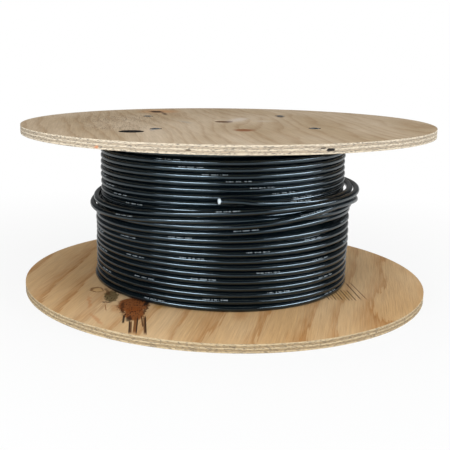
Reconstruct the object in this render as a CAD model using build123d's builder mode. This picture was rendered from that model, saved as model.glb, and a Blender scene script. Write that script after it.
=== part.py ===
"""Wooden cable drum, standing on its end and part wound with black cable.

Millimetres. The origin is the centre of the bottom flange's underside, and +Z runs up the
drum's axis. The front of the drum, where the cut end of the cable shows, faces -Y.
"""

import math
import os

from build123d import *

os.makedirs("parts", exist_ok=True)

# Flanges: plywood discs
flange_diameter = 610.0
flange_thickness = 12.0

# Clear width between the flanges
traverse = 226.0

# Axle hole through both flanges, and the larger hole near the rim of the top one
arbor_diameter = 28.0
drive_hole_diameter = 34.0
drive_hole_reach = 205.0
drive_hole_angle = 233.6

# Fibre tube that the cable is wound on
barrel_diameter = 334.0
barrel_wall = 5.0

# Tie bolts, inside the barrel, with their low heads drawn into the top flange
bolt_count = 4
bolt_first_angle = 53.6
bolt_shank_diameter = 8.0
bolt_head_diameter = 16.0
bolt_head_height = 3.0
bolt_head_proud = 0.8
bolt_crown_diameter = 9.0
bolt_rim_height = 1.6

# Nuts of the tie bolts, sunk in counterbores in the underside of the bottom flange
nut_across_flats = 13.0
nut_thickness = 5.5
nut_recess = 0.8
nut_counterbore_diameter = 20.0

# Cable, and how it lies: full layers on the barrel, and one more over the lower turns
cable_diameter = 9.1
layer_step = 8.8
full_layers = 2
lower_turns = 12

# Clearances
bolt_clearance = 0.5
bolt_to_barrel_clearance = 2.0
thread_clearance = 0.05
seat_clearance = 0.3
winding_clearance = 0.3

# Sizes that follow from those above
flange_radius = flange_diameter / 2
barrel_radius = barrel_diameter / 2
cable_radius = cable_diameter / 2
turn_easing = 0.6 * cable_radius
bolt_circle_radius = (
    barrel_radius - barrel_wall - bolt_to_barrel_clearance - bolt_shank_diameter / 2
)
floor_level = flange_thickness
ceiling_level = flange_thickness + traverse
overall_height = traverse + 2 * flange_thickness
turn_count = int(traverse // cable_diameter)
turn_pitch = traverse / turn_count
upper_radius = barrel_radius + cable_diameter + (full_layers - 1) * layer_step
lower_radius = upper_radius + layer_step
bolt_hole_radius = bolt_shank_diameter / 2 + bolt_clearance
head_recess_depth = bolt_head_height - bolt_head_proud
head_seat_level = overall_height - head_recess_depth
nut_seat_level = nut_recess + nut_thickness
lower_top_level = floor_level + lower_turns * turn_pitch


def bolt_positions(level):
    """Places of the tie bolts at a height, as plan locations on their circle."""
    return [
        Location(
            (
                bolt_circle_radius * math.cos(math.radians(angle)),
                bolt_circle_radius * math.sin(math.radians(angle)),
                level,
            )
        )
        for angle in (bolt_first_angle + step * 360 / bolt_count for step in range(bolt_count))
    ]


def drive_hole_place():
    """Plan place of the drive hole's centre."""
    angle = math.radians(drive_hole_angle)
    return drive_hole_reach * math.cos(angle), drive_hole_reach * math.sin(angle)


# Bottom flange: arbor hole, and counterbored holes for the nuts on its underside
with BuildPart() as bottom_flange:
    with BuildSketch(Plane.XY):
        Circle(flange_radius)
        Circle(arbor_diameter / 2, mode=Mode.SUBTRACT)
        with PolarLocations(bolt_circle_radius, bolt_count, bolt_first_angle):
            Circle(bolt_hole_radius, mode=Mode.SUBTRACT)
    extrude(amount=flange_thickness)
    with BuildSketch(Plane.XY):
        with PolarLocations(bolt_circle_radius, bolt_count, bolt_first_angle):
            Circle(nut_counterbore_diameter / 2)
    extrude(amount=nut_seat_level, mode=Mode.SUBTRACT)

# Top flange: arbor hole, recessed holes for the bolt heads, and the drive hole
with BuildPart() as top_flange:
    with BuildSketch(Plane.XY.offset(ceiling_level)):
        Circle(flange_radius)
        Circle(arbor_diameter / 2, mode=Mode.SUBTRACT)
        with Locations(drive_hole_place()):
            Circle(drive_hole_diameter / 2, mode=Mode.SUBTRACT)
        with PolarLocations(bolt_circle_radius, bolt_count, bolt_first_angle):
            Circle(bolt_hole_radius, mode=Mode.SUBTRACT)
    extrude(amount=flange_thickness)
    with BuildSketch(Plane.XY.offset(head_seat_level)):
        with PolarLocations(bolt_circle_radius, bolt_count, bolt_first_angle):
            Circle(bolt_head_diameter / 2 + bolt_clearance)
    extrude(amount=head_recess_depth, mode=Mode.SUBTRACT)

# Barrel: a plain tube, clamped end to end between the flanges
with BuildPart() as barrel:
    with BuildSketch(Plane.XY.offset(floor_level)):
        Circle(barrel_radius)
        Circle(barrel_radius - barrel_wall, mode=Mode.SUBTRACT)
    extrude(amount=traverse)

bottom_flange.part.label = "bottom_flange"
export_step(bottom_flange.part, "parts/bottom_flange.step")
top_flange.part.label = "top_flange"
export_step(top_flange.part, "parts/top_flange.step")
barrel.part.label = "barrel"
export_step(barrel.part, "parts/barrel.step")


def make_bolt(place, label):
    """One tie bolt: a low coned head, and a shank that runs down through its nut."""
    shank_length = head_seat_level - nut_recess
    with BuildPart() as bolt:
        with BuildSketch(Plane(place.position, x_dir=(1, 0, 0), z_dir=(0, -1, 0))):
            with BuildLine():
                Polyline(
                    (0, bolt_head_height),
                    (0, -shank_length),
                    (bolt_shank_diameter / 2, -shank_length),
                    (bolt_shank_diameter / 2, 0),
                    (bolt_head_diameter / 2, 0),
                    (bolt_head_diameter / 2, bolt_rim_height),
                    (bolt_crown_diameter / 2, bolt_head_height),
                    close=True,
                )
            make_face()
        revolve(axis=Axis(place.position, (0, 0, 1)))
    bolt.part.label = label
    return bolt.part


def make_nut(place, label):
    """One hexagon nut, threaded over the end of its bolt."""
    with BuildPart() as nut:
        with BuildSketch(Plane(place.position)):
            RegularPolygon(nut_across_flats / 2, 6, major_radius=False)
            Circle(bolt_shank_diameter / 2 + thread_clearance, mode=Mode.SUBTRACT)
        extrude(amount=nut_thickness)
    nut.part.label = label
    return nut.part


for index, place in enumerate(bolt_positions(head_seat_level), start=1):
    export_step(make_bolt(place, f"tie_bolt_{index}"), f"parts/tie_bolt_{index}.step")
for index, place in enumerate(bolt_positions(nut_recess), start=1):
    export_step(make_nut(place, f"bolt_nut_{index}"), f"parts/bolt_nut_{index}.step")


# Winding: one turned solid, with one layer more over its lower turns. The outer corners of
# its layers are eased as far as a turn of cable is round.
with BuildPart() as cable_winding:
    with BuildSketch(Plane.XZ):
        with BuildLine():
            bore_radius = barrel_radius + winding_clearance
            Polyline(
                (bore_radius, ceiling_level),
                (bore_radius, floor_level),
                (lower_radius - turn_easing, floor_level),
                (lower_radius, floor_level + turn_easing),
                (lower_radius, lower_top_level - turn_easing),
                (lower_radius - turn_easing, lower_top_level),
                (upper_radius, lower_top_level),
                (upper_radius, ceiling_level - turn_easing),
                (upper_radius - turn_easing, ceiling_level),
                close=True,
            )
        make_face()
    revolve(axis=Axis.Z)
cable_winding.part.label = "cable_winding"
export_step(cable_winding.part, "parts/cable_winding.step")

# Tail: the cable's last turns and its cut end, as one cord. Its route runs clockwise seen
# from above. Each point is the angle round the drum from the front, positive to the right,
# the radius of the cable's centre line there, and its height.
tail_start = (240, 190.0, 130.5)
tail_route = [
    (225, 190.0, 131.0),
    (195, 190.0, 133.0),
    (165, 191.0, 136.0),
    (135, 192.5, 140.0),
    (105, 194.5, 143.0),
    (75, 196.0, 145.5),
    (45, 196.0, 144.5),
    (15, 195.0, 141.0),
    (-15, 195.0, 134.5),
    (-45, 198.0, 128.5),
    (-75, 199.5, 127.5),
    (-105, 200.0, 131.0),
    (-135, 200.0, 138.5),
    (-165, 200.0, 146.5),
    (-195, 200.0, 152.0),
    (-225, 200.0, 155.5),
    (-255, 200.5, 156.0),
    (-285, 200.0, 155.5),
    (-315, 200.0, 155.0),
    (-345, 198.5, 151.5),
    (-375, 193.5, 145.0),
    (-405, 190.5, 138.0),
    (-435, 190.0, 136.0),
    (-465, 190.0, 140.5),
    (-495, 190.0, 146.5),
    (-525, 190.0, 152.0),
    (-555, 190.0, 156.5),
    (-585, 190.0, 159.0),
    (-615, 190.0, 159.5),
    (-645, 190.0, 157.0),
    (-675, 190.0, 156.0),
    (-705, 190.0, 159.5),
]
tail_end = (-720, 190.0, 162.5)
tail_step = 30.0
tail_sides = 8


def route_point(angle, radius, height, outward=1.0):
    """A point of the tail's route, at a radius about the axis times an outward factor."""
    reach = radius * outward
    return Vector(
        reach * math.sin(math.radians(angle)),
        -reach * math.cos(math.radians(angle)),
        height,
    )


def corner_radii(points):
    """Arc radius for each inner corner: as large as the shorter run beside it allows."""
    radii = []
    for before, corner, after in zip(points, points[1:], points[2:]):
        arriving = corner - before
        leaving = after - corner
        turn = math.radians(arriving.get_angle(leaving))
        shorter = min(arriving.length, leaving.length)
        radii.append(0.45 * shorter / math.tan(turn / 2))
    return radii


# The corners stand out, so that the runs between them touch the stated radius.
corner_reach = 1 / math.cos(math.radians(tail_step / 2))
tail_corners = [route_point(*place, outward=corner_reach) for place in tail_route]
tail_points = [route_point(*tail_start), *tail_corners, route_point(*tail_end)]
tail_radii = corner_radii(tail_points)
with BuildPart() as cable_tail:
    with BuildLine() as tail_line:
        FilletPolyline(*tail_points, radius=tail_radii)
    with BuildSketch(Plane(tail_line.line @ 0, z_dir=tail_line.line % 0)):
        RegularPolygon(cable_radius, tail_sides)
    sweep(transition=Transition.RIGHT)
cable_tail.part.label = "cable_tail"
export_step(cable_tail.part, "parts/cable_tail.step")

print("tail corner radii", [round(radius, 1) for radius in tail_radii])
print("tail length", round(sum(edge.length for edge in tail_line.edges()), 1))
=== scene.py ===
"""Wooden cable drum, standing on its end and part wound with black cable.

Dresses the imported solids: plywood flanges, fibre barrel, zinc plated tie bolts, the wound
turns of cable and the loose turns whose cut end shows at the front. Sizes are written in
millimetres and turned to metres where a mesh or a pattern is made.
"""

import logging
import math
from dataclasses import dataclass, field
from enum import Enum
from functools import partial

import bmesh
import bpy
from mathutils import Matrix, Vector, noise


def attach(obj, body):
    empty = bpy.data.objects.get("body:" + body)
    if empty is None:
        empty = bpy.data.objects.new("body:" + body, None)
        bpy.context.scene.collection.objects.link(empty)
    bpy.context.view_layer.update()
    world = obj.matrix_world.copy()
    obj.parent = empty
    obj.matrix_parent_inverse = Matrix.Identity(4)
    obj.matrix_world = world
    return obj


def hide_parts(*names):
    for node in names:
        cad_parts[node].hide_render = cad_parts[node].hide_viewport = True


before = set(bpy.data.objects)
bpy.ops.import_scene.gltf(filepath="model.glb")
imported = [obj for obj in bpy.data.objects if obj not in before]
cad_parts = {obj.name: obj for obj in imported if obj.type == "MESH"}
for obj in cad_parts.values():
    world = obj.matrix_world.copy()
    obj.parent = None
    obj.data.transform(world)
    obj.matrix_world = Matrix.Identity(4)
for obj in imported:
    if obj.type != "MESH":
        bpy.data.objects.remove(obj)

MM = 0.001
TURN = 2 * math.pi
BODY = "root"
PHOTO_SIDE = 450
COLOUR_MIX = {"out": 2, "data_type": "RGBA"}
Tree = bpy.types.NodeTree
Socket = bpy.types.NodeSocket
log = logging.getLogger("cable_drum")


def linear(code: str) -> tuple[float, float, float, float]:
    """Turn an sRGB hex colour into linear light.

    Args:
        code: Six hex digits, such as "b09a78".

    Returns:
        Red, green, blue and a full alpha.
    """
    parts = [int(code[i : i + 2], 16) / 255 for i in (0, 2, 4)]
    return (*((c / 12.92 if c <= 0.04045 else ((c + 0.055) / 1.055) ** 2.4) for c in parts), 1.0)


def add_node(
    tree: Tree,
    kind: str,
    inputs: dict[int | str, object] | None = None,
    out: int | str = 0,
    stops: tuple[tuple[float, str], ...] = (),
    **settings: object,
) -> Socket:
    """Add one shader node, set it and link it.

    Args:
        tree: Node tree that gets the node.
        kind: Node type without its "ShaderNode" prefix.
        inputs: For each input, a socket to link from, a value, or an sRGB hex colour.
        out: Output to hand back.
        stops: Positions and sRGB hex colours of a colour ramp.
        **settings: Properties of the node.

    Returns:
        The chosen output socket.
    """
    node = tree.nodes.new("ShaderNode" + kind)
    for name, value in settings.items():
        setattr(node, name, value)
    for key, value in (inputs or {}).items():
        if isinstance(value, Socket):
            tree.links.new(value, node.inputs[key])
        else:
            node.inputs[key].default_value = linear(value) if isinstance(value, str) else value
    if stops:
        ramp = node.color_ramp
        for _ in range(len(stops) - 2):
            ramp.elements.new(0.5)
        for element, (position, code) in zip(ramp.elements, stops):
            element.position = position
            element.color = linear(code)
    return node.outputs[out]


def new_material(name: str) -> tuple[bpy.types.Material, Tree]:
    """Make a material with an empty node tree.

    Args:
        name: What the real material is and how its surface was made.

    Returns:
        The material and its tree.
    """
    material = bpy.data.materials.new(name)
    material.use_nodes = True
    material.node_tree.nodes.clear()
    return material, material.node_tree


def close_material(tree: Tree, inputs: dict[int | str, object]) -> None:
    """Add the surface shader and the output.

    Args:
        tree: Node tree of the material.
        inputs: Inputs of the principled shader.
    """
    link_surface(tree, add_node(tree, "BsdfPrincipled", inputs))


def link_surface(tree: Tree, surface: Socket) -> None:
    """Link a shader to a new material output."""
    output = tree.nodes.new("ShaderNodeOutputMaterial")
    tree.links.new(surface, output.inputs["Surface"])


def dress(piece: bpy.types.Object, material: bpy.types.Material) -> None:
    """Give a piece or a CAD node one material."""
    piece.data.materials.clear()
    piece.data.materials.append(material)


def finish_mesh(name: str, bm: bmesh.types.BMesh) -> bpy.types.Object:
    """Turn a bmesh into a smooth shaded object at the origin.

    Args:
        name: Name of the piece.
        bm: Its mesh, in metres, which is freed.

    Returns:
        The new object, linked to the scene.
    """
    mesh = bpy.data.meshes.new(name)
    bm.to_mesh(mesh)
    bm.free()
    mesh.shade_smooth()
    piece = bpy.data.objects.new(name, mesh)
    bpy.context.scene.collection.objects.link(piece)
    return piece


class Outline(Enum):
    """How the edge of a mark on the wood runs."""

    ROUND = "round"
    BAR = "bar"
    SPECKS = "specks"


@dataclass(frozen=True)
class Mark:
    """One stain, knot, hole or smudge on a board, in millimetres.

    Its reach is half its size across, along and up. Softness is the share of the reach over
    which it fades, and turn is in degrees.
    """

    place: tuple[float, float, float]
    reach: tuple[float, float, float]
    colour: str
    strength: float = 1.0
    softness: float = 0.5
    turn: float = 0.0
    outline: Outline = Outline.ROUND


@dataclass(frozen=True)
class Plywood:
    """Rotary cut softwood plywood, bare and rough sanded.

    The cut gives the eye broad, wandering growth bands along the grain, and the sawn edge
    shows the plies as light and dark layers with grey handling dirt. Saw marks and specks are
    drawn a little coarser than real ones, so that they show. All sizes are in millimetres.
    """

    name: str
    underside: float
    thickness: float
    pale: str
    tan: str
    band: str
    grain_turn: float
    band_width: float
    band_strength: float
    swing: float
    edge_pale: str
    edge_tan: str
    glue_line: str
    dirt: str
    marks: tuple[Mark, ...] = ()
    # Painted shade: the walls of the arbor hole and of the other holes are painted dark brown and
    # near black, for the shade that fills them.
    bored_wall_shade: str = "5a4330"
    deep: str = "100b08"
    holes_within: float = 280.0
    arbor_within: float = 50.0
    wander_size: tuple[float, float] = (150, 520)
    patch_size: tuple[float, float] = (90, 260)
    ragged_size: tuple[float, float] = (3.2, 60)
    fibre_size: tuple[float, float] = (1.6, 45)
    wave_length: float = 45.0
    saw_size: tuple[float, float, float] = (4.5, 4.5, 1.0)
    speck_size: tuple[float, float, float] = (1.9, 5.5, 3.0)
    relief: float = 0.6
    roughness: float = 0.78
    fray_size: float = 7.692
    fray_reach: float = 11.0

    def build(self) -> bpy.types.Material:
        """Make the material.

        Returns:
            Plywood with its face figure, its plies and its marks.
        """
        material, tree = new_material(self.name)
        node = partial(add_node, tree)
        place = node("TexCoord", out="Object")
        facing = node("NewGeometry", out="True Normal")
        colour, relief = self._face(tree, place)
        edge, edge_relief = self._edge(tree, place)
        flat_place = node("VectorMath", {0: place, 1: (1, 1, 0)}, operation="MULTIPLY")
        reach = node("VectorMath", {0: flat_place}, out="Value", operation="LENGTH")
        # Painted shade: edge faces inside the holes' radius take the dark wall colours in place
        # of the plies.
        bored_wall_shade = node("Math", {0: reach, 1: self.holes_within * MM}, operation="LESS_THAN")
        outer = node("Math", {0: reach, 1: self.arbor_within * MM}, operation="GREATER_THAN")
        painted_hole_shade = node("Mix", {0: outer, 6: self.bored_wall_shade, 7: self.deep}, **COLOUR_MIX)
        edge = node("Mix", {0: bored_wall_shade, 6: edge, 7: painted_hole_shade}, **COLOUR_MIX)
        up = node("SeparateXYZ", {0: facing}, out=2)
        flat = node("Math", {0: up}, operation="ABSOLUTE")
        on_edge = node("Math", {0: flat, 1: 0.5}, operation="LESS_THAN")
        colour = node("Mix", {0: on_edge, 6: colour, 7: edge}, **COLOUR_MIX)
        relief = node("Mix", {0: on_edge, 2: relief, 3: edge_relief}, data_type="FLOAT")
        colour = self._add_marks(tree, place, colour)
        bump = node("Bump", {"Strength": 0.55, "Distance": self.relief * MM, "Height": relief})
        close_material(
            tree,
            {
                "Base Color": colour,
                "Roughness": self.roughness,
                "Specular IOR Level": 0.2,
                "Normal": bump,
            },
        )
        return material

    def _grain(self, tree: Tree, place: Socket, across: float, along: float) -> Socket:
        """Turn places on the board into steps of a pattern that runs with the grain.

        Args:
            tree: Node tree of the material.
            place: Object coordinates.
            across: Pattern size across the grain, mm.
            along: Pattern size along the grain, mm.

        Returns:
            Coordinates whose Y runs along the grain.
        """
        return add_node(
            tree,
            "Mapping",
            {
                "Vector": place,
                "Location": (0, 0, self.underside * MM),
                "Rotation": (0, 0, math.radians(self.grain_turn)),
                "Scale": (across * MM, along * MM, across * MM),
            },
            vector_type="TEXTURE",
        )

    def _face(self, tree: Tree, place: Socket) -> tuple[Socket, Socket]:
        """Make the figure of the flat faces.

        Args:
            tree: Node tree of the material.
            place: Object coordinates.

        Returns:
            Colour and height.
        """
        node = partial(add_node, tree)
        wander = node(
            "TexNoise",
            {"Vector": self._grain(tree, place, *self.wander_size), "Scale": 1.0, "Detail": 2.0},
        )
        across = node(
            "SeparateXYZ", {0: self._grain(tree, place, self.band_width, self.band_width)}
        )
        swing = node("Math", {0: wander, 1: self.swing}, operation="MULTIPLY")
        rings = node("Math", {0: across, 1: swing}, operation="ADD")
        rings = node("Math", {0: rings}, operation="FRACT")
        ragged = node(
            "TexNoise",
            {"Vector": self._grain(tree, place, *self.ragged_size), "Scale": 1.0, "Detail": 3.0},
        )
        ragged_step = node("MapRange", {0: ragged, 1: 0.3, 2: 0.7, 3: -0.14, 4: 0.14})
        rings = node("Math", {0: rings, 1: ragged_step}, operation="ADD")
        latewood = node(
            "ValToRGB",
            {0: rings},
            stops=(
                (0.0, "606060"),
                (0.08, "101010"),
                (0.5, "303030"),
                (0.8, "c8c8c8"),
                (0.92, "ffffff"),
                (1.0, "606060"),
            ),
        )
        patch = node(
            "TexNoise",
            {"Vector": self._grain(tree, place, *self.patch_size), "Scale": 1.0, "Detail": 3.0},
        )
        patch = node("MapRange", {0: patch, 1: 0.35, 2: 0.65})
        ground = node("Mix", {0: patch, 6: self.pale, 7: self.tan}, **COLOUR_MIX)
        faded = node("MapRange", {0: patch, 3: 0.45, 4: 1.0})
        share = node("Math", {0: latewood, 1: faded}, operation="MULTIPLY")
        share = node("Math", {0: share, 1: self.band_strength}, operation="MULTIPLY")
        figure = node("Mix", {0: share, 6: ground, 7: self.band}, **COLOUR_MIX)
        fibre = node(
            "TexNoise",
            {"Vector": self._grain(tree, place, *self.fibre_size), "Scale": 1.0, "Detail": 4.0},
        )
        shade = node("MapRange", {0: fibre, 1: 0.25, 2: 0.75, 3: 0.86, 4: 1.12})
        shade = node("CombineXYZ", {0: shade, 1: shade, 2: shade})
        figure = node("Mix", {0: 1.0, 6: figure, 7: shade}, blend_type="MULTIPLY", **COLOUR_MIX)
        return figure, fibre

    def _edge(self, tree: Tree, place: Socket) -> tuple[Socket, Socket]:
        """Make the plies that show on the sawn edge.

        Args:
            tree: Node tree of the material.
            place: Object coordinates.

        Returns:
            Colour and height.
        """
        node = partial(add_node, tree)
        ply_steps = node(
            "Mapping",
            {
                "Vector": place,
                "Location": (0, 0, self.underside * MM),
                "Scale": (self.wave_length * MM, self.wave_length * MM, self.thickness * MM),
            },
            vector_type="TEXTURE",
        )
        wave = node("TexNoise", {"Vector": ply_steps, "Scale": 1.0, "Detail": 3.0})
        wave = node("MapRange", {0: wave, 1: 0.3, 2: 0.7, 3: -0.07, 4: 0.07})
        level = node("SeparateXYZ", {0: ply_steps}, out=2)
        level = node("Math", {0: level, 1: wave}, operation="ADD")
        plies = node(
            "ValToRGB",
            {0: level},
            stops=(
                (0.0, self.edge_tan),
                (0.05, self.edge_pale),
                (0.19, self.edge_pale),
                (0.215, self.glue_line),
                (0.24, self.edge_tan),
                (0.38, self.edge_tan),
                (0.405, self.glue_line),
                (0.43, self.edge_pale),
                (0.58, self.edge_pale),
                (0.605, self.glue_line),
                (0.63, self.edge_tan),
                (0.77, self.edge_tan),
                (0.795, self.glue_line),
                (0.82, self.edge_pale),
                (1.0, self.edge_pale),
            ),
        )
        saw_steps = node(
            "Mapping",
            {"Vector": place, "Scale": tuple(c * MM for c in self.saw_size)},
            vector_type="TEXTURE",
        )
        saw = node(
            "TexNoise", {"Vector": saw_steps, "Scale": 1.0, "Detail": 4.0, "Roughness": 0.7}
        )
        grime = node("MapRange", {0: saw, 1: 0.48, 2: 0.62, 3: 0.0, 4: 0.8})
        edge = node("Mix", {0: grime, 6: plies, 7: self.dirt}, **COLOUR_MIX)
        return edge, saw

    def _add_marks(self, tree: Tree, place: Socket, colour: Socket) -> Socket:
        """Lay the marks over the board's figure.

        Args:
            tree: Node tree of the material.
            place: Object coordinates.
            colour: Colour of the clean board.

        Returns:
            Colour of the marked board.
        """
        node = partial(add_node, tree)
        fray = 1 / (self.fray_size * MM)
        fray_reach = (self.fray_reach * MM, self.fray_reach * MM, 0.0)
        ragged = node("TexNoise", {"Vector": place, "Scale": fray, "Detail": 3.0}, out="Color")
        ragged = node("VectorMath", {0: ragged, 1: (0.5, 0.5, 0.5)}, operation="SUBTRACT")
        ragged = node("VectorMath", {0: ragged, 1: fray_reach}, operation="MULTIPLY")
        rough_place = node("VectorMath", {0: place, 1: ragged}, operation="ADD")
        speck_steps = node(
            "Mapping",
            {"Vector": place, "Scale": tuple(c * MM for c in self.speck_size)},
            vector_type="TEXTURE",
        )
        specks = node("TexNoise", {"Vector": speck_steps, "Scale": 1.0, "Detail": 1.0})
        specks = node("MapRange", {0: specks, 1: 0.57, 2: 0.64})
        for mark in self.marks:
            plain = mark.outline is Outline.BAR
            local = node(
                "Mapping",
                {
                    "Vector": place if plain else rough_place,
                    "Location": tuple(c * MM for c in mark.place),
                    "Rotation": (0, 0, math.radians(mark.turn)),
                    "Scale": tuple(c * MM for c in mark.reach),
                },
                vector_type="TEXTURE",
            )
            if plain:
                local = node("VectorMath", {0: local}, operation="ABSOLUTE")
                across = node("SeparateXYZ", {0: local})
                along, up = across.node.outputs[1:]
                widest = node("Math", {0: across, 1: along}, operation="MAXIMUM")
                distance = node("Math", {0: widest, 1: up}, operation="MAXIMUM")
            else:
                distance = node("VectorMath", {0: local}, out="Value", operation="LENGTH")
            mask = node(
                "MapRange",
                {0: distance, 1: 1.0, 2: 1.0 - mark.softness, 3: 0.0, 4: mark.strength},
                interpolation_type="SMOOTHSTEP",
            )
            if mark.outline is Outline.SPECKS:
                mask = node("Math", {0: mask, 1: specks}, operation="MULTIPLY")
            colour = node("Mix", {0: mask, 6: colour, 7: mark.colour}, **COLOUR_MIX)
        return colour


@dataclass(frozen=True)
class FibreBoard:
    """Spiral wound fibre tube, glued from kraft board: matt brown, with faint winding seams."""

    name: str = "Fibre board tube, spiral wound"
    pale: str = "9c7c58"
    dark: str = "7a5c3c"
    seam_spacing: float = 70.0
    fibre_size: float = 3.846

    def build(self) -> bpy.types.Material:
        """Make the material.

        Returns:
            Brown board with seams.
        """
        material, tree = new_material(self.name)
        node = partial(add_node, tree)
        place = node("TexCoord", out="Object")
        fibres = node(
            "TexNoise", {"Vector": place, "Scale": 1 / (self.fibre_size * MM), "Detail": 5.0}
        )
        seams = node(
            "TexWave",
            {"Vector": place, "Scale": TURN / (20 * self.seam_spacing * MM), "Distortion": 0.4},
            bands_direction="DIAGONAL",
        )
        seam = node("MapRange", {0: seams, 1: 0.0, 2: 0.06, 3: 0.6, 4: 0.0})
        colour = node("Mix", {0: fibres, 6: self.pale, 7: self.dark}, **COLOUR_MIX)
        colour = node("Mix", {0: seam, 6: colour, 7: self.dark}, **COLOUR_MIX)
        bump = node("Bump", {"Strength": 0.3, "Distance": 0.0003, "Height": fibres})
        close_material(tree, {"Base Color": colour, "Roughness": 0.85, "Normal": bump})
        return material


@dataclass(frozen=True)
class ZincPlate:
    """Bright zinc plated steel gone dull: bluish grey with a pale bloom in patches."""

    name: str = "Zinc plated steel, dull"
    blue: str = "6f7a86"
    bloom: str = "8f979e"
    bloom_size: float = 5.263

    def build(self) -> bpy.types.Material:
        """Make the material.

        Returns:
            Grey metal whose gloss varies.
        """
        material, tree = new_material(self.name)
        node = partial(add_node, tree)
        place = node("TexCoord", out="Object")
        grain = 1 / (self.bloom_size * MM)
        bloom = node("TexNoise", {"Vector": place, "Scale": grain, "Detail": 4.0})
        spots = node("MapRange", {0: bloom, 1: 0.42, 2: 0.64})
        colour = node("Mix", {0: spots, 6: self.blue, 7: self.bloom}, **COLOUR_MIX)
        gloss = node("MapRange", {0: spots, 3: 0.34, 4: 0.58})
        bump = node("Bump", {"Strength": 0.15, "Distance": 0.0002, "Height": bloom})
        close_material(
            tree, {"Base Color": colour, "Metallic": 1.0, "Roughness": gloss, "Normal": bump}
        )
        return material


@dataclass(frozen=True)
class CableJacket:
    """Extruded black jacket: satin, with faint lengthwise drag lines and a pale ink print.

    The print is rows of short strokes without any meaning. The piece's UV map runs along the
    cable in metres, and round it in turns from the outward side upwards.
    """

    name: str = "Black extruded cable jacket, satin"
    black: str = "04090c"
    dust: str = "080f13"
    ink: str = "8f9698"
    glint: str = "d3eaf5"
    interval: float = 275.5
    print_length: float = 33.0
    stroke: float = 0.8
    print_height: float = 1.5
    print_turn: float = 0.115
    print_cover: float = 0.6
    girth: float = 28.6
    drag_length: float = 111.11
    drag_width: float = 1.1

    def build(self) -> bpy.types.Material:
        """Make the material.

        Returns:
            Black jacket with its print.
        """
        material, tree = new_material(self.name)
        node = partial(add_node, tree)
        uv = node("UVMap", uv_map="along")
        along = node("SeparateXYZ", {0: uv}, out=0)
        around = along.node.outputs[1]
        repeat = node("Math", {0: along, 1: self.interval * MM}, operation="DIVIDE")
        repeat = node("Math", {0: repeat}, operation="FRACT")
        within = node(
            "Math", {0: repeat, 1: self.interval / self.print_length}, operation="MULTIPLY"
        )
        groups = node(
            "ValToRGB",
            {0: within},
            stops=(
                (0.0, "ffffff"),
                (0.28, "000000"),
                (0.36, "ffffff"),
                (0.64, "000000"),
                (0.71, "ffffff"),
                (1.0, "000000"),
            ),
        )
        groups.node.color_ramp.interpolation = "CONSTANT"
        cell = node("Math", {0: along, 1: self.stroke * MM}, operation="DIVIDE")
        cell = node("Math", {0: cell}, operation="FLOOR")
        strokes = node("TexWhiteNoise", {"W": cell}, noise_dimensions="1D")
        strokes = node("MapRange", {0: strokes, 1: 0.2, 2: 0.3})
        off = node("Math", {0: around, 1: self.print_turn}, operation="SUBTRACT")
        off = node("Math", {0: off}, operation="ABSOLUTE")
        half = self.print_height / self.girth / 2
        band = node("MapRange", {0: off, 1: half * 1.15, 2: half * 0.85})
        ink = node("Math", {0: groups, 1: strokes}, operation="MULTIPLY")
        ink = node("Math", {0: ink, 1: band}, operation="MULTIPLY")
        ink = node("Math", {0: ink, 1: self.print_cover}, operation="MULTIPLY")
        drag_scale = (1 / (self.drag_length * MM), self.girth / self.drag_width, 1.0)
        drag_steps = node("Mapping", {"Vector": uv, "Scale": drag_scale})
        drag = node("TexNoise", {"Vector": drag_steps, "Scale": 1.0, "Detail": 3.0})
        dusty = node("MapRange", {0: drag, 1: 0.4, 2: 0.75})
        colour = node("Mix", {0: dusty, 6: self.black, 7: self.dust}, **COLOUR_MIX)
        colour = node("Mix", {0: ink, 6: colour, 7: self.ink}, **COLOUR_MIX)
        gloss = node("MapRange", {0: drag, 1: 0.3, 2: 0.7, 3: 0.14, 4: 0.19})
        bump = node("Bump", {"Strength": 0.08, "Distance": 0.0002, "Height": drag})
        close_material(
            tree,
            {
                "Base Color": colour,
                "Roughness": gloss,
                "Specular IOR Level": 0.85,
                "Specular Tint": self.glint,
                "Normal": bump,
            },
        )
        return material


@dataclass(frozen=True)
class CutCore:
    """Sawn end of the cable: pale foamed insulation round a small bright conductor.

    The foam's cells are drawn coarser than real ones, so that they show.
    """

    centre: Vector
    name: str = "Foamed insulation, cut across"
    pale: str = "d9e0e2"
    shade: str = "b5bec2"
    metal: str = "a8926a"
    conductor_radius: float = 0.7
    cell_size: float = 1.111

    def build(self) -> bpy.types.Material:
        """Make the material.

        Returns:
            Pale core with its conductor in the middle.
        """
        material, tree = new_material(self.name)
        node = partial(add_node, tree)
        place = node("TexCoord", out="Object")
        reach = node("VectorMath", {0: place, 1: self.centre}, out="Value", operation="DISTANCE")
        inside = node(
            "MapRange",
            {0: reach, 1: self.conductor_radius * 1.2 * MM, 2: self.conductor_radius * 0.9 * MM},
        )
        grain = 1 / (self.cell_size * MM)
        cells = node("TexNoise", {"Vector": place, "Scale": grain, "Detail": 3.0})
        colour = node("Mix", {0: cells, 6: self.pale, 7: self.shade}, **COLOUR_MIX)
        colour = node("Mix", {0: inside, 6: colour, 7: self.metal}, **COLOUR_MIX)
        bump = node("Bump", {"Strength": 0.3, "Distance": 0.0002, "Height": cells})
        close_material(
            tree, {"Base Color": colour, "Metallic": inside, "Roughness": 0.5, "Normal": bump}
        )
        return material


@dataclass
class Section:
    """One ring of a tube: its vertices, its frame and how many metres of cable lead to it."""

    ring: list[bmesh.types.BMVert]
    middle: Vector
    out: Vector
    up: Vector
    along: float


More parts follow.
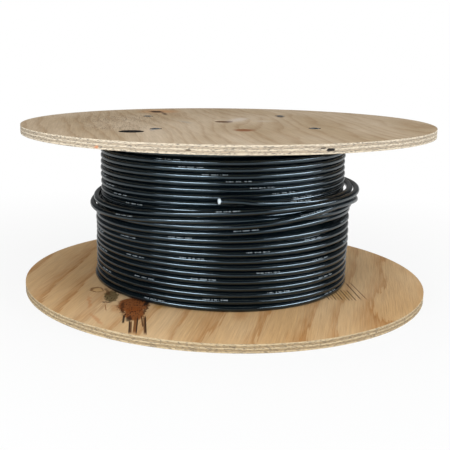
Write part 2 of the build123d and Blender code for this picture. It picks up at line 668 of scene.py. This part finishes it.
def map_along(bm: bmesh.types.BMesh, sections: list[Section]) -> None:
    """Give a tube its UV map: metres along it, and turns round it from its outward side.

    Args:
        bm: The tube's mesh.
        sections: Its rings in order.
    """
    layer = bm.loops.layers.uv.new("along")
    known = {}
    for section in sections:
        for vert in section.ring:
            off = vert.co - section.middle
            turn = math.atan2(off.dot(section.up), off.dot(section.out)) / TURN
            known[vert] = (section.along, turn)
    for face in bm.faces:
        turns = [known[loop.vert][1] for loop in face.loops]
        wraps = max(turns) - min(turns) > 0.5
        for loop, turn in zip(face.loops, turns):
            loop[layer].uv = (known[loop.vert][0], turn + 1 if wraps and turn < 0 else turn)


def smooth_step(low: float, high: float, value: float) -> float:
    """Rise smoothly from 0 at low to 1 at high."""
    share = min(1.0, max(0.0, (value - low) / (high - low)))
    return share * share * (3 - 2 * share)


@dataclass
class Layer:
    """One layer of wound turns, in millimetres.

    Turns count from the start, which is at the front, and are negative before it. Rise is the
    climb of each turn. The print shift moves the print along the cable, and aside moves the
    layer to the right.
    """

    radius: float
    start: float
    rise: float
    first: float
    last: float
    print_shift: float
    aside: float


@dataclass(frozen=True)
class Swell:
    """A place where turns lift or stand out by an amount in millimetres.

    It grows from one turn to another, and lies about an azimuth, with a spread in degrees.
    """

    amount: float
    begins: float
    full: float
    azimuth: float
    spread: float

    def at(self, turns: float) -> float:
        """Find how far a turn is moved, in mm.

        Args:
            turns: Turns from the layer's start.

        Returns:
            Up to the whole amount, at the swell's azimuth.
        """
        off = (-360 * turns - self.azimuth + 180) % 360 - 180
        near = math.exp(-((off / self.spread) ** 2))
        return self.amount * smooth_step(self.begins, self.full, turns) * near


@dataclass
class WoundCable:
    """The turns that fill the drum, each lying against the next, over the layers beneath."""

    diameter: float = 9.1
    floor: float = 12.0
    ceiling: float = 238.0
    bore_radius: float = 167.3
    under_radius: float = 176.2
    sides: int = 14
    steps: int = 132
    upper: Layer = field(
        default_factory=lambda: Layer(180.35, 233.0, -9.1, -0.35, 14.1, -118.4, -2.6)
    )
    lower: Layer = field(
        default_factory=lambda: Layer(189.15, 16.9, 9.35, -0.35, 12.333, -76.0, -1.4)
    )
    lean: float = 8.0
    lean_grows: tuple[float, float] = (5, 12)
    upper_lean: float = 4.0
    upper_lean_level: float = 150.0
    upper_lean_spread: float = 24.0
    top_drop: float = 2.6
    top_drop_turns: float = 2.2
    last_lift: float = 5.3
    last_out: float = 0.85
    lifted_turns: tuple[float, float] = (12.08, 12.333)
    last_turns: tuple[float, float] = (12.1, 12.333)
    crossing_out: float = 9.4
    crossing_begins: tuple[float, float] = (11.44, 11.6)
    crossing_ends: tuple[float, float] = (11.84, 12.0)
    side_ends: tuple[float, float] = (11.2, 11.6)
    loop_lift: Swell = Swell(13.0, 10.2, 11.9, 55, 32)
    loop_out: Swell = Swell(11.0, 11.3, 11.9, 35, 38)
    start_out: Swell = Swell(3.0, 0.7, 0.4, -72, 30)
    wander_up: float = 0.5
    wander_up_pace: float = 1.7
    wander_out: float = 0.9
    wander_out_pace: float = 2.3
    wander_out_width: float = 1.3
    wander_out_start: float = 9.0
    clearance: float = 0.05
    under_gap: float = 0.1
    under_steps: int = 96

    def height(self, layer: Layer, turns: float) -> float:
        """Height of the cable's middle line.

        Args:
            layer: Layer that the cable lies in.
            turns: Turns from the layer's start.

        Returns:
            Height in mm.
        """
        azimuth = -TURN * turns
        level = layer.start + layer.rise * turns
        if layer is self.lower:
            level += self.lean * smooth_step(*self.lean_grows, turns) * math.sin(azimuth)
            level += self.last_lift * smooth_step(*self.lifted_turns, turns)
            level += self.loop_lift.at(turns)
        else:
            level -= self.top_drop * smooth_step(0, self.top_drop_turns, turns)
            off = (level - self.upper_lean_level) / self.upper_lean_spread
            level += self.upper_lean * math.exp(-(off**2)) * math.sin(azimuth)
        round_place = (math.cos(azimuth), math.sin(azimuth))
        level += self.wander_up * noise.noise(Vector((*round_place, turns * self.wander_up_pace)))
        rest = self.diameter / 2 + self.clearance
        return min(max(level, self.floor + rest), self.ceiling - rest)

    def reach(self, layer: Layer, turns: float) -> float:
        """Distance of the cable's middle line from the drum's axis.

        Args:
            layer: Layer that the cable lies in.
            turns: Turns from the layer's start.

        Returns:
            Distance in mm.
        """
        azimuth = -TURN * turns
        width, start = self.wander_out_width, self.wander_out_start
        pace = start + turns * self.wander_out_pace
        place = Vector((math.cos(azimuth) * width, math.sin(azimuth) * width, pace))
        reach = layer.radius + self.wander_out * noise.noise(place)
        risen = turns * layer.rise / self.lower.rise
        reach += layer.aside * math.sin(azimuth) * (1 - smooth_step(*self.side_ends, risen))
        if layer is self.lower:
            reach += self.last_out * smooth_step(*self.last_turns, turns)
            crossing = self.crossing_out * smooth_step(*self.crossing_begins, turns)
            crossing *= 1 - smooth_step(*self.crossing_ends, turns)
            reach += max(self.loop_out.at(turns), crossing)
            reach += self.start_out.at(turns)
        return reach

    def add_turn(
        self, bm: bmesh.types.BMesh, layer: Layer, first: float, last: float
    ) -> list[Section]:
        """Spin up to one turn of cable and lay it on its middle line.

        Args:
            bm: Mesh that gets the turn.
            layer: Layer that it lies in.
            first: Turns from the layer's start to its beginning.
            last: Turns from the layer's start to its end.

        Returns:
            Its rings.
        """
        count = round((last - first) * self.steps)
        place = (
            Matrix.Rotation(-TURN * first - math.pi / 2, 4, "Z")
            @ Matrix.Translation((layer.radius * MM, 0, 0))
            @ Matrix.Rotation(math.pi / 2, 4, "X")
        )
        turn = bmesh.new()
        ring = bmesh.ops.create_circle(
            turn, segments=self.sides, radius=self.diameter / 2 * MM, matrix=place
        )["verts"]
        bmesh.ops.spin(
            turn,
            geom=ring + list(turn.edges),
            cent=(0, 0, 0),
            axis=(0, 0, 1),
            dvec=(0, 0, self.diameter * MM / self.steps),
            angle=-TURN * (last - first),
            steps=count,
        )
        mesh = bpy.data.meshes.new("turn")
        turn.to_mesh(mesh)
        turn.free()
        before = len(bm.verts)
        bm.from_mesh(mesh)
        bpy.data.meshes.remove(mesh)
        bm.verts.ensure_lookup_table()
        sections = []
        for number in range(count + 1):
            begin = before + number * self.sides
            ring = bm.verts[begin : begin + self.sides]
            done = first + (last - first) * number / count
            middle = sum((vert.co for vert in ring), Vector()) / self.sides
            out = Vector((-math.sin(TURN * done), -math.cos(TURN * done), 0))
            target = out * self.reach(layer, done) * MM
            target.z = self.height(layer, done) * MM
            for vert in ring:
                vert.co += target - middle
            along = (TURN * done * layer.radius + layer.print_shift) * MM
            sections.append(Section(ring, target, out, Vector((0, 0, 1)), along))
        return sections

    def add_under_layer(self, bm: bmesh.types.BMesh) -> None:
        """Turn the layers beneath, which show only as darkness between the turns.

        Args:
            bm: Mesh that gets them.
        """
        deep = self.under_radius - self.bore_radius
        tall = self.ceiling - self.floor - 2 * self.under_gap
        middle = Vector((self.bore_radius + deep / 2, 0, (self.floor + self.ceiling) / 2)) * MM
        place = (
            Matrix.Translation(middle)
            @ Matrix.Rotation(math.pi / 2, 4, "X")
            @ Matrix.Diagonal((deep * MM, tall * MM, 1, 1))
        )
        made = bmesh.ops.create_grid(bm, x_segments=1, y_segments=1, size=0.5, matrix=place)
        edges = list({edge for vert in made["verts"] for edge in vert.link_edges})
        faces = list({face for vert in made["verts"] for face in vert.link_faces})
        bmesh.ops.delete(bm, geom=faces, context="FACES_ONLY")
        bmesh.ops.spin(
            bm,
            geom=made["verts"] + edges,
            cent=(0, 0, 0),
            axis=(0, 0, 1),
            angle=TURN,
            steps=self.under_steps,
            use_merge=True,
        )

    def build(self, material: bpy.types.Material) -> bpy.types.Object:
        """Make the wound cable.

        Args:
            material: Finish of the jacket.

        Returns:
            The piece, which stands for the plain winding.
        """
        bm = bmesh.new()
        sections = []
        for layer in (self.upper, self.lower):
            first = layer.first
            while first < layer.last:
                last = min(first + 1, layer.last)
                sections += self.add_turn(bm, layer, first, last)
                first = last
        map_along(bm, sections)
        bmesh.ops.remove_doubles(bm, verts=bm.verts, dist=0.001 * MM)
        ends = [edge for edge in bm.edges if edge.is_boundary]
        bmesh.ops.holes_fill(bm, edges=ends, sides=self.sides)
        self.add_under_layer(bm)
        bmesh.ops.recalc_face_normals(bm, faces=bm.faces)
        piece = finish_mesh("wound_turns", bm)
        dress(piece, material)
        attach(piece, BODY)
        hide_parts("cable_winding")
        return piece


@dataclass
class LooseCable:
    """The last two and two thirds turns, which lie loose over the rest and end in a clean cut.

    Each route point is an azimuth from the front in degrees, a distance from the axis and a
    height in millimetres. Between the ends they are the corners that the cable rounds.
    """

    diameter: float = 9.1
    sides: int = 18
    jacket: float = 0.75
    corner_spacing: float = 30.0
    print_azimuth: float = -357.5
    print_length: float = 33.0
    core_depth: float = 2.0
    core_round: float = 0.25
    core_sides: int = 24
    proud: float = 0.3
    resolution: int = 14
    route: tuple[tuple[float, float, float], ...] = (
        (240, 190.0, 130.5),
        (225, 190.0, 131.0),
        (195, 190.0, 133.0),
        (165, 190.0, 134.5),
        (135, 190.0, 136.0),
        (105, 190.5, 136.5),
        (75, 190.5, 136.0),
        (45, 190.0, 136.5),
        (15, 189.8, 139.5),
        (-15, 194.0, 136.0),
        (-45, 198.0, 129.0),
        (-75, 199.5, 127.5),
        (-105, 200.0, 131.0),
        (-135, 200.0, 138.5),
        (-165, 200.0, 146.5),
        (-195, 200.0, 152.0),
        (-225, 200.0, 155.5),
        (-255, 200.5, 156.0),
        (-285, 200.0, 155.5),
        (-315, 200.0, 155.0),
        (-345, 198.5, 151.5),
        (-375, 193.5, 145.0),
        (-405, 192.5, 138.0),
        (-435, 194.5, 137.5),
        (-465, 193.5, 140.5),
        (-495, 190.0, 146.5),
        (-525, 190.0, 152.0),
        (-555, 190.0, 156.5),
        (-585, 190.0, 159.0),
        (-615, 190.0, 159.5),
        (-645, 190.0, 157.0),
        (-675, 190.0, 156.0),
        (-705, 190.0, 160.5),
        (-713.6, 192.5, 164.2),
        (-720.8, 200.0, 165.0),
    )

    def points(self) -> list[Vector]:
        """Find the points that steer the cable's line round the drum.

        Returns:
            Places in metres, moved out so that the line keeps its distance between them.
        """
        found = []
        for number, (azimuth, reach, level) in enumerate(self.route):
            inner = 0 < number < len(self.route) - 2
            out = reach / math.cos(math.radians(self.corner_spacing / 2)) if inner else reach
            angle = math.radians(azimuth)
            found.append(Vector((out * math.sin(angle), -out * math.cos(angle), level)) * MM)
        return found

    def path(self) -> list[Vector]:
        """Read the smooth line of the route from its spline.

        Returns:
            Points along the cable's middle, in metres.
        """
        curve = bpy.data.curves.new("loose_cable_line", "CURVE")
        curve.dimensions = "3D"
        spline = curve.splines.new("NURBS")
        places = self.points()
        spline.points.add(len(places) - 1)
        for point, place in zip(spline.points, places):
            point.co = (*place, 1.0)
        spline.order_u = 3
        spline.use_endpoint_u = True
        spline.resolution_u = self.resolution
        holder = bpy.data.objects.new("loose_cable_line", curve)
        bpy.context.scene.collection.objects.link(holder)
        bpy.context.view_layer.update()
        mesh = bpy.data.meshes.new_from_object(holder)
        line = [vert.co.copy() for vert in mesh.vertices]
        bpy.data.objects.remove(holder)
        bpy.data.meshes.remove(mesh)
        return line

    @staticmethod
    def station(line: list[Vector], number: int) -> Matrix:
        """Place a section of the cable on its line.

        Args:
            line: Points along the cable's middle.
            number: Which point.

        Returns:
            Matrix whose X points off the drum, Y up and Z back along the cable.
        """
        ahead = line[min(number + 1, len(line) - 1)] - line[max(number - 1, 0)]
        ahead.normalize()
        out = Vector((0, 0, 1)).cross(ahead).normalized()
        up = ahead.cross(out)
        turned = Matrix((out, up, out.cross(up))).transposed().to_4x4()
        return Matrix.Translation(line[number]) @ turned

    def build(self, material: bpy.types.Material) -> tuple[bpy.types.Object, bpy.types.Object]:
        """Make the loose cable and the pale core that shows at its cut.

        Args:
            material: Finish of the jacket.

        Returns:
            The cable and its core.
        """
        line = self.path()
        lengths = [0.0]
        for here, there in zip(line, line[1:]):
            lengths.append(lengths[-1] + (there - here).length)
        shift = self.print_length / 2 * MM - self.length_to(line, self.print_azimuth)
        bm = bmesh.new()
        ring = bmesh.ops.create_circle(
            bm, segments=self.sides, radius=self.diameter / 2 * MM, matrix=self.station(line, 0)
        )["verts"]
        rings = [ring]
        last, edges = self.station(line, 0), list(bm.edges)
        for number in range(1, len(line)):
            made = bmesh.ops.extrude_edge_only(bm, edges=edges)["geom"]
            new_ring = [item for item in made if isinstance(item, bmesh.types.BMVert)]
            members = set(new_ring)
            edges = [
                item
                for item in made
                if isinstance(item, bmesh.types.BMEdge) and members.issuperset(item.verts)
            ]
            here = self.station(line, number)
            move = here @ last.inverted()
            for vert in new_ring:
                vert.co = move @ vert.co
            rings.append(new_ring)
            last = here
        sections = []
        for number, (ring, length) in enumerate(zip(rings, lengths)):
            out, up = (self.station(line, number).col[i].to_3d() for i in (0, 1))
            sections.append(Section(ring, line[number], out, up, length + shift))
        map_along(bm, sections)
        start = [edge for edge in bm.edges if edge.is_boundary and edge.verts[0] in rings[0]]
        bmesh.ops.holes_fill(bm, edges=start, sides=self.sides)
        end = [edge for edge in bm.edges if edge.is_boundary]
        face = bmesh.ops.holes_fill(bm, edges=end, sides=self.sides)["faces"]
        bmesh.ops.inset_region(bm, faces=face, thickness=self.jacket * MM, use_even_offset=True)
        bmesh.ops.recalc_face_normals(bm, faces=bm.faces)
        cable = finish_mesh("loose_turns", bm)
        dress(cable, material)
        core = self.build_core(line)
        for piece in (cable, core):
            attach(piece, BODY)
        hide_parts("cable_tail")
        log.info("loose cable is %.3f m long", lengths[-1])
        return cable, core

    def length_to(self, line: list[Vector], azimuth: float) -> float:
        """Measure the cable from its start to an azimuth.

        Args:
            line: Points along the cable's middle.
            azimuth: Degrees from the front, counted back from the route's first point.

        Returns:
            Metres of cable.
        """
        turned, length = math.radians(self.route[0][0]), 0.0
        for here, there in zip(line, line[1:]):
            if turned <= math.radians(azimuth):
                break
            turned -= here.xy.angle(there.xy)
            length += (there - here).length
        return length

    def build_core(self, line: list[Vector]) -> bpy.types.Object:
        """Make the pale core that stands a hair proud of the jacket at the cut.

        Args:
            line: Points along the cable's middle.

        Returns:
            The core, dressed.
        """
        place = self.station(line, len(line) - 1)
        radius, inward = self.diameter / 2 - self.jacket, self.core_depth / 2 - self.proud
        bm = bmesh.new()
        bmesh.ops.create_cone(
            bm,
            cap_ends=True,
            segments=self.core_sides,
            radius1=radius * MM,
            radius2=radius * MM,
            depth=self.core_depth * MM,
            matrix=place @ Matrix.Translation((0, 0, inward * MM)),
        )
        inner = [edge for edge in bm.edges if not edge.is_boundary]
        rim = [edge for edge in inner if edge.calc_face_angle() > 1]
        bmesh.ops.bevel(
            bm,
            geom=rim,
            offset=self.core_round * MM,
            affect="EDGES",
            segments=2,
            profile=0.5,
            material=-1,
        )
        core = finish_mesh("cut_core", bm)
        middle = place @ Vector((0, 0, -self.proud * MM))
        dress(core, CutCore(middle).build())
        return core


@dataclass
class Drum:
    """The wooden drum itself: two flanges, the barrel, and the bolts that tie them."""

    board: float = 12.0
    top: float = 238.0
    bolts: int = 4

    def bottom_marks(self) -> tuple[Mark, ...]:
        """List the stains, drips and bars on the bottom flange's upper face.

        Returns:
            Marks in the order in which they are laid.
        """
        z = self.board
        body, brown, dark, grey = "7a3f10", "4a2606", "1a0d05", "52431f"
        marks = [
            Mark((-80, -176, z), (18, 11, 3), "a17a3c", 0.5, 0.8),
            Mark((-140, -190, z), (13, 26, 3), "b07a44", 0.5, 0.8, 15),
            Mark((-181, -165, z), (4, 42, 3), "b06c34", 0.45, 0.8, 12),
            Mark((-160, -234, z), (5, 38, 3), "b06c34", 0.45, 0.8, 28),
            Mark((-154, -138, z), (12, 30, 3), grey, 0.85, 0.3, 8),
            Mark((-154, -138, z), (14, 32, 3), dark, 0.9, 0.4, 8, Outline.SPECKS),
            Mark((-158, -165, z), (9, 2.6, 3), dark, 0.85, 0.4),
            Mark((-163, -117, z), (4, 22, 3), brown, 0.6, 0.5, 16),
            Mark((-119, -172, z), (25, 36, 3), body, 0.95, 0.25),
            Mark((-113, -207, z), (16, 31, 3), body, 0.95, 0.25, 6),
            Mark((-118, -182, z), (26, 48, 3), dark, 1.0, 0.3, 4, Outline.SPECKS),
            Mark((-132, -186, z), (3, 34, 3), brown, 0.9, 0.5, 5),
            Mark((-102, -165, z), (3.5, 12, 3), dark, 0.9, 0.5),
            Mark((-99, -190, z), (2.6, 30, 3), brown, 0.85, 0.5, -3),
            Mark((-117, -229, z), (5, 14, 3), dark, 0.8, 0.5),
            Mark((-180, -109, z), (11.5, 14.5, 3), "6f4318", 0.8, 0.25, 20),
            Mark((-178.5, -109.5, z), (8, 11, 3), "c6a06c", 0.9, 0.3, 20),
            Mark((28, -196, z), (14, 34, 3), "a0682c", 0.45, 0.8, -6),
            Mark((-40, -150, z), (30, 80, 3), "b98c55", 0.25, 0.9),
            Mark((172, -96, z), (26, 36, 3), "ab8548", 0.5, 0.6),
        ]
        for x, y, reach, length, code, turn in (
            (-155.0, -187, 0.8, 15, "8a5a2c", 12.0),
            (-124.5, -230, 1.8, 19, dark, 5.0),
            (-112.0, -259, 2.2, 26, brown, 6.0),
            (-113.6, -259, 0.9, 27, dark, 6.0),
            (-106.5, -250, 3.2, 36, "6d3d14", 4.5),
            (-104.4, -252, 1.0, 35, dark, 4.5),
            (-99.5, -236, 1.2, 26, brown, 9.0),
            (-94.5, -250, 2.1, 39, brown, 6.6),
            (-93.2, -250, 0.8, 39, dark, 6.6),
            (194.3, -77, 1.2, 47, "452612", 6.4),
            (201.8, -75, 0.9, 47, "5a3a22", 7.5),
        ):
            marks.append(Mark((x, y, z), (reach, length, 2), code, 0.9, 0.4, turn, Outline.BAR))
        for number in range(9):
            bar, strength = (151.5 + 4.6 * number, -98, z), 0.4 if number % 2 else 0.85
            marks.append(Mark(bar, (1.1, 29, 2), "452f1c", strength, 0.4, 7, Outline.BAR))
        return tuple(marks)

    def top_marks(self) -> tuple[Mark, ...]:
        """List the knots, smudges, specks and the painted shade of a rim notch on the top flange.

        Returns:
            Marks in the order in which they are laid.
        """
        z = self.top + self.board
        edge = self.top + self.board / 2
        return (
            Mark((-116, 205, z), (48, 66, 3), "b07c4a", 0.65, 0.85),
            Mark((-120, 196, z), (16, 30, 3), "3b281b", 1.0, 0.6, 18),
            Mark((-102, 150, z), (5, 44, 3), "4f3a27", 0.8, 0.7, 10),
            Mark((27, -130, z), (18, 24, 3), "83522f", 0.95, 0.6, -8),
            Mark((93, 110, z), (8, 24, 3), "51473a", 0.85, 0.6),
            Mark((-58, -12, z), (10, 40, 3), "8b8b86", 0.4, 0.9, 25),
            Mark((-95, -140, z), (6, 18, 3), "7d8084", 0.5, 0.8),
            Mark((22, 40, z), (20, 70, 3), "c9c2bc", 0.4, 0.9, -14),
            Mark((60, 20, z), (26, 24, 3), "c4bbae", 0.3, 0.9),
            Mark((-168, 35, z), (112, 165, 3), "3a2e24", 0.75, 0.85, 8, Outline.SPECKS),
            Mark((-150, -110, z), (60, 60, 3), "4b3c2e", 0.8, 0.6, 8, Outline.SPECKS),
            # Painted shade: the near-black spot and the dark spot beside it stand in for the
            # shaded hollow of a notch in the rim.
            Mark((122.5, -279.3, edge - 1), (6.5, 6.5, 2.2), "16100c", 1.0, 0.4),
            Mark((114.5, -282.6, edge + 1.2), (4, 4, 1.4), "2a2019", 0.9, 0.5),
            Mark((-152, -264.5, edge - 3.4), (5, 5, 2.6), "b96a3a", 0.65, 0.7),
            Mark((-40, -302.4, edge - 1), (5, 5, 1.4), "4a3c2e", 0.85, 0.5),
        )

    def dress(self) -> None:
        """Give the drum's CAD nodes their finishes."""
        top = Plywood(
            "Softwood plywood, greyed and handled",
            self.top,
            self.board,
            pale="b7a58d",
            tan="a69174",
            band="8a6c4a",
            grain_turn=10,
            band_width=25,
            band_strength=0.52,
            swing=8.0,
            edge_pale="bdae96",
            edge_tan="9f8f78",
            glue_line="77695a",
            dirt="565049",
            marks=self.top_marks(),
        ).build()
        bottom = Plywood(
            "Softwood plywood, warm and clean",
            0.0,
            self.board,
            pale="c8a87e",
            tan="be996a",
            band="9c672f",
            grain_turn=-10,
            band_width=52,
            band_strength=0.8,
            swing=3.4,
            edge_pale="b5a07d",
            edge_tan="957f5e",
            glue_line="6e5a42",
            dirt="544b40",
            marks=self.bottom_marks(),
        ).build()
        zinc, fibre = ZincPlate().build(), FibreBoard().build()
        finishes = {"top_flange": top, "bottom_flange": bottom, "barrel": fibre}
        for number in range(1, self.bolts + 1):
            finishes[f"tie_bolt_{number}"] = zinc
            finishes[f"bolt_nut_{number}"] = zinc
        for node, material in finishes.items():
            dress(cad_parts[node], material)
            log.info("dressed %s in %s", node, material.name)


@dataclass(frozen=True)
class Lamp:
    """A soft rectangular lamp that faces the drum, in metres, degrees and watts.

    Its azimuth is 0 in front and positive to the right.
    """

    name: str
    azimuth: float
    elevation: float
    distance: float
    size: tuple[float, float]
    power: float
    colour: str = "f0f6ff"


@dataclass
class Studio:
    """White floor, soft lamps and the camera. Angles are in degrees, distances in metres."""

    camera_place: tuple[float, float, float] = (0.0, -1.1552, 0.3472)
    yaw: float = -5.173
    pitch: float = 12.654
    roll: float = 0.212
    focal_pixels: float = 752.864
    shift_pixels: float = 70.0
    sensor: float = 36.0
    ambient: float = 0.5
    dim_front: float = 0.03
    far_white: float = 0.15
    far_headings: tuple[float, float] = (0.6, 0.95)
    far_floor: tuple[float, float] = (0.3, 1.2)
    floor_reach: float = 30.0
    floor_gap: float = 0.0002
    covered: float = 0.302
    shadow_ring: tuple[float, float] = (0.35, 0.95)
    shadow_white: float = 0.88
    lamp_target: float = 0.14
    paper: str = "c9c9c7"
    lamps: tuple[Lamp, ...] = (
        Lamp("left_softbox", -27, 12, 1.7, (0.95, 0.28), 17),
        Lamp("left_feather", -30, 12, 1.75, (1.8, 0.28), 15),
        Lamp("right_softbox", 67, 12, 1.7, (1.2, 0.28), 15),
        Lamp("right_feather", 67, 12, 1.75, (2.1, 0.28), 14),
        Lamp("top_softbox", 0, 78, 1.8, (1.6, 1.6), 13.5, "fffaf2"),
    )

    def add_camera(self) -> None:
        """Place the camera at the photograph's angle."""
        data = bpy.data.cameras.new("camera")
        data.sensor_width = self.sensor
        data.lens = self.sensor * self.focal_pixels / PHOTO_SIDE
        data.shift_x = self.shift_pixels / PHOTO_SIDE
        camera = bpy.data.objects.new("camera", data)
        yaw, pitch, roll = (math.radians(a) for a in (self.yaw, self.pitch, self.roll))
        ahead = Vector(
            (math.sin(yaw) * math.cos(pitch), math.cos(yaw) * math.cos(pitch), -math.sin(pitch))
        )
        right = Vector((math.cos(yaw), -math.sin(yaw), 0))
        up = right.cross(ahead)
        right, up = (
            right * math.cos(roll) + up * math.sin(roll),
            up * math.cos(roll) - right * math.sin(roll),
        )
        turned = Matrix((right, up, -ahead)).transposed().to_4x4()
        camera.matrix_world = Matrix.Translation(self.camera_place) @ turned
        bpy.context.scene.collection.objects.link(camera)
        bpy.context.scene.camera = camera

    def add_lamp(self, lamp: Lamp) -> None:
        """Add a lamp and turn it to the drum's middle.

        Args:
            lamp: Its place, size and power.
        """
        data = bpy.data.lights.new(lamp.name, "AREA")
        data.shape = "RECTANGLE"
        data.size, data.size_y = lamp.size
        data.energy = lamp.power
        data.color = linear(lamp.colour)[:3]
        holder = bpy.data.objects.new(lamp.name, data)
        a, e = math.radians(lamp.azimuth), math.radians(lamp.elevation)
        out = Vector((math.sin(a) * math.cos(e), -math.cos(a) * math.cos(e), math.sin(e)))
        turned = out.to_track_quat("Z", "Y").to_matrix().to_4x4()
        place = Vector((0, 0, self.lamp_target)) + out * lamp.distance
        holder.matrix_world = Matrix.Translation(place) @ turned
        bpy.context.scene.collection.objects.link(holder)

    @staticmethod
    def seen_share(tree: Tree, gloss: float | Socket) -> Socket:
        """Find which rays see the white background.

        Args:
            tree: Node tree of the background.
            gloss: Share of it that glossy rays see, so that metal shows it too.

        Returns:
            1 for camera and transmission rays, and that share for glossy ones.
        """
        node = partial(add_node, tree)
        rays = node("LightPath", out="Is Camera Ray")
        glossy = node(
            "Math", {0: rays.node.outputs["Is Glossy Ray"], 1: gloss}, operation="MULTIPLY"
        )
        share = node("Math", {0: rays, 1: glossy}, operation="MAXIMUM")
        return node(
            "Math", {0: share, 1: rays.node.outputs["Is Transmission Ray"]}, operation="MAXIMUM"
        )

    def add_world(self) -> None:
        """Surround the drum with plain white that lights it gently."""
        world = bpy.data.worlds.new("white_surround")
        world.use_nodes = True
        tree = world.node_tree
        node = partial(add_node, tree)
        tree.nodes.clear()
        rays = node("LightPath", out="Is Glossy Ray")
        level = node("MapRange", {0: rays, 3: self.ambient, 4: self.dim_front})
        gentle = node("Background", {0: "ffffff", 1: level})
        seen = node("Background", {0: "ffffff", 1: 1.0})
        heading = node("TexCoord", out="Generated")
        behind = node("SeparateXYZ", {0: heading}, out=1)
        low, high = self.far_headings
        behind = node(
            "MapRange",
            {0: behind, 1: low, 2: high, 4: self.far_white},
            interpolation_type="SMOOTHSTEP",
        )
        share = self.seen_share(tree, behind)
        both = node("MixShader", {0: share, 1: gentle, 2: seen})
        output = tree.nodes.new("ShaderNodeOutputWorld")
        tree.links.new(both, output.inputs["Surface"])
        bpy.context.scene.world = world

    def add_floor(self) -> None:
        """Lay the pale floor. It is open where the drum hides it, and clear from beneath."""
        bm = bmesh.new()
        under = Matrix.Translation((0, 0, -self.floor_gap))
        reach = self.floor_reach
        bmesh.ops.create_grid(bm, x_segments=1, y_segments=1, size=reach, matrix=under)
        floor = finish_mesh("floor", bm)
        material, tree = new_material("Matt white paper sweep")
        node = partial(add_node, tree)
        paper = node("BsdfDiffuse", {"Color": self.paper})
        white = node("Emission", {"Color": "ffffff", "Strength": 1.0})
        place = node("TexCoord", out="Object")
        away = node("VectorMath", {0: place}, out="Value", operation="LENGTH")
        near, far = self.shadow_ring
        plain = node(
            "MapRange",
            {0: away, 1: near, 2: far, 3: self.shadow_white},
            interpolation_type="SMOOTHSTEP",
        )
        behind = node("SeparateXYZ", {0: place}, out=1)
        low, high = self.far_floor
        behind = node(
            "MapRange",
            {0: behind, 1: low, 2: high, 4: self.far_white},
            interpolation_type="SMOOTHSTEP",
        )
        share = node("Math", {0: self.seen_share(tree, behind), 1: plain}, operation="MULTIPLY")
        upper = node("MixShader", {0: share, 1: paper, 2: white})
        below = node("NewGeometry", out="Backfacing")
        covered = node("Math", {0: away, 1: self.covered}, operation="LESS_THAN")
        below = node("Math", {0: below, 1: covered}, operation="MAXIMUM")
        clear = node("BsdfTransparent")
        link_surface(tree, node("MixShader", {0: below, 1: upper, 2: clear}))
        dress(floor, material)

    def build(self) -> None:
        """Set up the whole studio."""
        bpy.context.scene.view_settings.view_transform = "Standard"
        self.add_camera()
        self.add_world()
        self.add_floor()
        for lamp in self.lamps:
            self.add_lamp(lamp)


def main() -> None:
    """Dress the drum, wind its cable and set up the studio."""
    logging.basicConfig(level=logging.INFO, format="%(message)s")
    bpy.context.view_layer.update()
    Studio().build()
    jacket = CableJacket().build()
    wound = WoundCable()
    turns = wound.build(jacket)
    log.info("wound %d faces of cable", len(turns.data.polygons))
    cable, core = LooseCable().build(jacket)
    log.info("laid %s with %s", cable.name, core.name)
    Drum().dress()
    bpy.context.view_layer.update()


if __name__ == "__main__":
    main()
